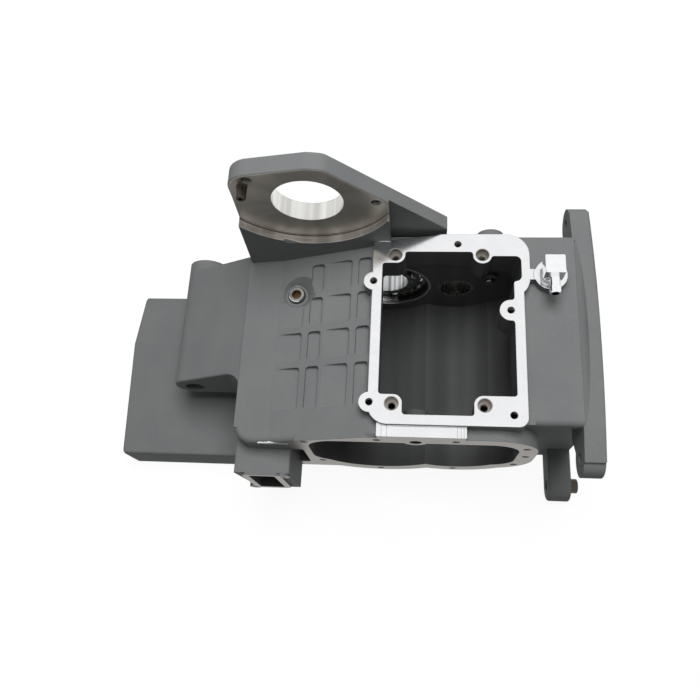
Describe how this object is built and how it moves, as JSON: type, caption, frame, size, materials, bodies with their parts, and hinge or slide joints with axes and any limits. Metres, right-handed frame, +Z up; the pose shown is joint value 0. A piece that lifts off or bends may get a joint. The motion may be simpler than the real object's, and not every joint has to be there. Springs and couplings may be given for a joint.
{
  "type": "gearbox housing",
  "caption": "Cast gearbox housing with top and side openings, sump tail, starter and engine flanges, pivot boss, shaft bearings, vent and plug.",
  "frame": {"origin": "on the main shaft axis, in the plane of the main bearing's outer face", "axes": "+X towards the engine flange, +Y along the shafts towards the starter side, +Z up through the top cover opening"},
  "size_m": [0.469, 0.2515, 0.2909],
  "materials": {
    "cast_housing": "matt grey textured paint on a casting, machined faces bare",
    "bearing_steel": "ground",
    "bearing_balls": "polished",
    "bearing_cage": "pressed",
    "dark_steel": "oiled dark steel",
    "pin_steel": "ground",
    "sealing_washer": "soft washer",
    "plated_steel": "zinc plated",
    "plug_steel": "plated"
  },
  "bodies": {
    "case": {"housing": "cast_housing", "main_bearing_outer_ring": "bearing_steel", "main_bearing_retaining_ring": "dark_steel", "countershaft_cup": "bearing_steel", "shift_pin": "pin_steel", "vent_washer": "sealing_washer", "vent_elbow": "plated_steel", "vent_barb": "plated_steel", "deck_plug": "plug_steel", "deck_plug_ring": "sealing_washer", "starter_dowel": "dark_steel", "engine_sleeve_front": "dark_steel", "engine_sleeve_back": "dark_steel"},
    "main_inner_ring": {"main_bearing_inner_ring": "bearing_steel"},
    "main_ball_set": {"main_bearing_balls": "bearing_balls", "main_bearing_cage": "bearing_cage"},
    "countershaft_needle_set": {"countershaft_needles": "bearing_balls", "countershaft_cage": "bearing_cage"}
  },
  "joints": [
    {"name": "main_shaft_spin", "type": "hinge", "parent": "case", "child": "main_inner_ring", "pos_m": [0, -0.0095, 0], "axis": [0, 1, 0], "continuous": true},
    {"name": "main_balls_spin", "type": "hinge", "parent": "case", "child": "main_ball_set", "pos_m": [0, -0.0095, 0], "axis": [0, 1, 0], "continuous": true},
    {"name": "countershaft_needles_spin", "type": "hinge", "parent": "case", "child": "countershaft_needle_set", "pos_m": [0.069, -0.016, -0.004], "axis": [0, 1, 0], "continuous": true}
  ],
  "couplings": [
    {"joint": "main_balls_spin", "follows": "main_shaft_spin", "ratio": 0.4023}
  ]
}
